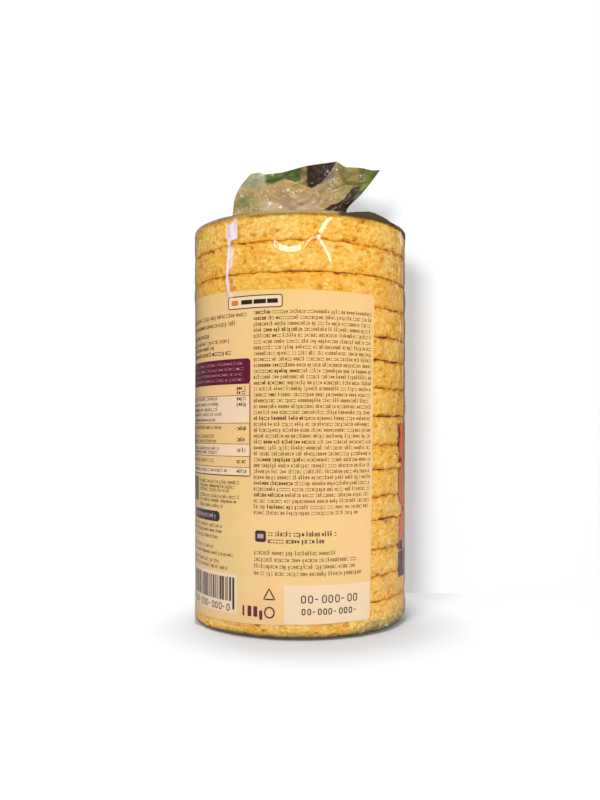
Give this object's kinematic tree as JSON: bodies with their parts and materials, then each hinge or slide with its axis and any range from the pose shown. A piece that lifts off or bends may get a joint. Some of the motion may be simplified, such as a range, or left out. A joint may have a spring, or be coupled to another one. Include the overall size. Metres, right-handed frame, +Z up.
{
  "type": "pack of puffed lentil cakes",
  "caption": "Stack of round puffed lentil cakes in a tight clear film bag with printed panels, a gathered crumpled top and a flat foot to stand on.",
  "frame": {"origin": "centre of the flat foot that the pack stands on", "axes": "+Z up along the stack, -Y towards the printed back panel that the picture shows, +X to the right in that view"},
  "size_m": [0.0928, 0.0929, 0.1987],
  "materials": {
    "lentil_cake": "puffed, rough and porous",
    "clear_film": "clear glossy film, creased",
    "cream_ink": "printed film, satin",
    "pale_ink": "printed film, satin",
    "dark_ink": "printed film, satin",
    "maroon_ink": "printed film, satin",
    "coral_ink": "printed film, satin",
    "green_ink": "printed film, satin"
  },
  "bodies": {
    "root": {"filled_bag": "lentil_cake", "back_print": "cream_ink", "front_print": "coral_ink"}
  },
  "joints": []
}
